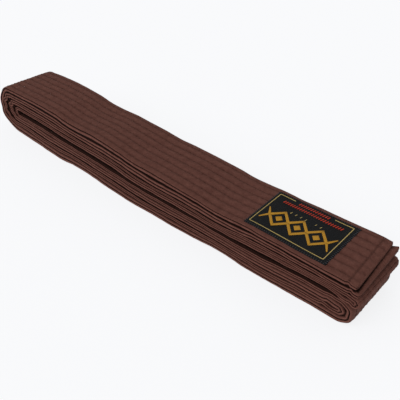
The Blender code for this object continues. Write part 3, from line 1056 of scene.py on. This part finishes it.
def pale_floor():
    made, _, shader = new_material("floor")
    set_shader(shader, roughness=0.9, specular=0.0)
    set_inputs(shader, {"Base Color": FLOOR_COLOUR, "Emission Color": FLOOR_GLOW})
    set_inputs(shader, {"Emission Strength": FLOOR_GLOW_STRENGTH})
    return made


# ---- stage
# Lengths are in metres here.
CAMERA_PLACE = (0.202, -0.1836, 0.192)
CAMERA_YAW = -0.737
CAMERA_PITCH = 0.6313
SENSOR_MM = 36.0
LENS_MM = 45.7
CLIP_START = 0.01
LIGHT_WAY = (0.12, 0.75, -0.68)
LIGHT_SPREAD_DEG = 50
LIGHT_STRENGTH = 1.48
SKY_STRENGTH = 0.62
FLOOR_REACH = 6.0


def aim(item, way):
    """Turns a camera or a light to look along a direction."""
    item.rotation_mode = "QUATERNION"
    item.rotation_quaternion = Vector(way).to_track_quat("-Z", "Y")


def add_camera(scene):
    data = bpy.data.cameras.new("camera")
    data.sensor_width = SENSOR_MM
    data.lens = LENS_MM
    data.clip_start = CLIP_START
    camera = add_object("camera", data)
    camera.location = CAMERA_PLACE
    level = math.cos(CAMERA_PITCH)
    aim(camera, (math.sin(CAMERA_YAW) * level, math.cos(CAMERA_YAW) * level, -math.sin(CAMERA_PITCH)))
    scene.camera = camera


def add_light():
    data = bpy.data.lights.new("softbox", "SUN")
    data.angle = math.radians(LIGHT_SPREAD_DEG)
    data.energy = LIGHT_STRENGTH
    aim(add_object("softbox", data), LIGHT_WAY)


def add_sky(scene):
    world = bpy.data.worlds.new("world")
    world.use_nodes = True
    background = world.node_tree.nodes["Background"]
    set_inputs(background, {"Color": (1, 1, 1, 1), "Strength": SKY_STRENGTH})
    scene.world = world


def stage():
    for name in ("Cube", "Camera", "Light"):
        if name in bpy.data.objects:
            bpy.data.objects.remove(bpy.data.objects[name])
    scene = bpy.context.scene
    scene.view_settings.view_transform = "Standard"
    add_camera(scene)
    add_sky(scene)
    add_light()
    corners = [(x * FLOOR_REACH, y * FLOOR_REACH, 0) for x, y in ((-1, -1), (1, -1), (1, 1), (-1, 1))]
    mesh_object("floor", corners, [(0, 1, 2, 3)], pale_floor())


# ---- the belt
def nodes_of(body, starts, ends=""):
    """CAD nodes of a body, by the start and the end of their names."""
    return [name for name in body_nodes[body] if name.startswith(starts) and name.endswith(ends)]


stage()
body_nodes = frame["record"]["behaviour"]["bodies"]
cloth = cotton()
sewing = thread("brown_thread", BROWN)
label_black = label_weave()
label_grey = thread("grey_thread", GREY)
gold_thread = thread("gold_thread", GOLD)
pale_gold = thread("pale_gold_thread", PALE_GOLD)
red_thread = thread("red_thread", RED)

root_strip = Strip(run_points(1, CREASE_1, CREASE_2, FINE_STEP), 1)
end_start = root_strip.along[-1]
end_strip = Strip(end_points(1, CREASE_2, LABEL_TIP), 1, end_start, has_hem=True, slant=TIP_SLANT)
hank_strip = Strip(hank_path(), 1, slant=HANK_SLANT)
second_path = end_points(2, CREASE_1, SECOND_TIP)
second_strip = Strip(second_path, -1, has_hem=True, bare_from=LABEL_TIP - BARE_BEFORE_TIP)

root = strip_object("belt_label_root", root_strip, 0.0, cloth)
label_end = strip_object("belt_label_end", end_strip, TIP_BULGE, cloth)
hank = strip_object("belt_hank", hank_strip, 0.0, cloth)
second_end = strip_object("belt_second_end", second_strip, TIP_BULGE, cloth)

# The stitches on the hank's outer face are in sight up to the first fold that closes over it.
wrap_end = hank_strip.along[int(np.argmax(hank_strip.open < 1)) - 1]
threads = {"root": [quilting("stitches_label_root", root_strip, 1, 0.0, end_start, sewing)]}
for end, strip, side in (("label_end", end_strip, 1), ("second_end", second_strip, -1)):
    last_stitch = strip.hem - ROWS_TO_HEM
    threads[end] = [
        quilting(f"stitches_{end}", strip, side, strip.along[0], last_stitch, sewing),
        hem_row(f"hem_stitches_{end}", strip, side, sewing),
    ]
threads["hank"] = [quilting("stitches_hank", hank_strip, 1, 0.0, wrap_end, sewing)]

label = label_sheet(label_black)
red = [outline for row in RED_HATCHES for outline in hatch(*row)]
label_parts = [
    raised("label_border", border(), BORDER_RISE, pale_gold),
    raised("label_ornament_gold", chain(), GOLD_RISE, gold_thread),
    raised("label_ornament_red", red, RED_RISE, red_thread),
    raised("label_ornament_tan", hatch(*TAN_HATCH), TAN_RISE, pale_gold),
    label_stitches(label_grey),
]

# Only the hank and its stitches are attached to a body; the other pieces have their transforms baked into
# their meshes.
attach(hank, "hank")
for piece in threads["hank"]:
    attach(piece, "hank")
for piece in [root, second_end] + threads["root"] + threads["second_end"]:
    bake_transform(piece)
for piece in [label_end, label] + threads["label_end"] + label_parts:
    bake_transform(piece)

# The CAD nodes that each piece replaces.
STRIP_NODES = ("cover", "core")
QUILTING_NODES = "quilt"
for piece, sewn, body, ends in (
    (hank, "hank", "hank", ""),
    (root, "root", "second_end", "label_root"),
    (second_end, "second_end", "second_end", "second_end"),
    (label_end, "label_end", "label_end", ""),
):
    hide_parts(*nodes_of(body, STRIP_NODES, ends))
    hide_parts(*nodes_of(body, QUILTING_NODES, ends))
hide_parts("hem_thread_second_end")
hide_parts("hem_thread_label_end")
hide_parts("woven_label")
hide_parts(*nodes_of("label_end", "label_thread"))
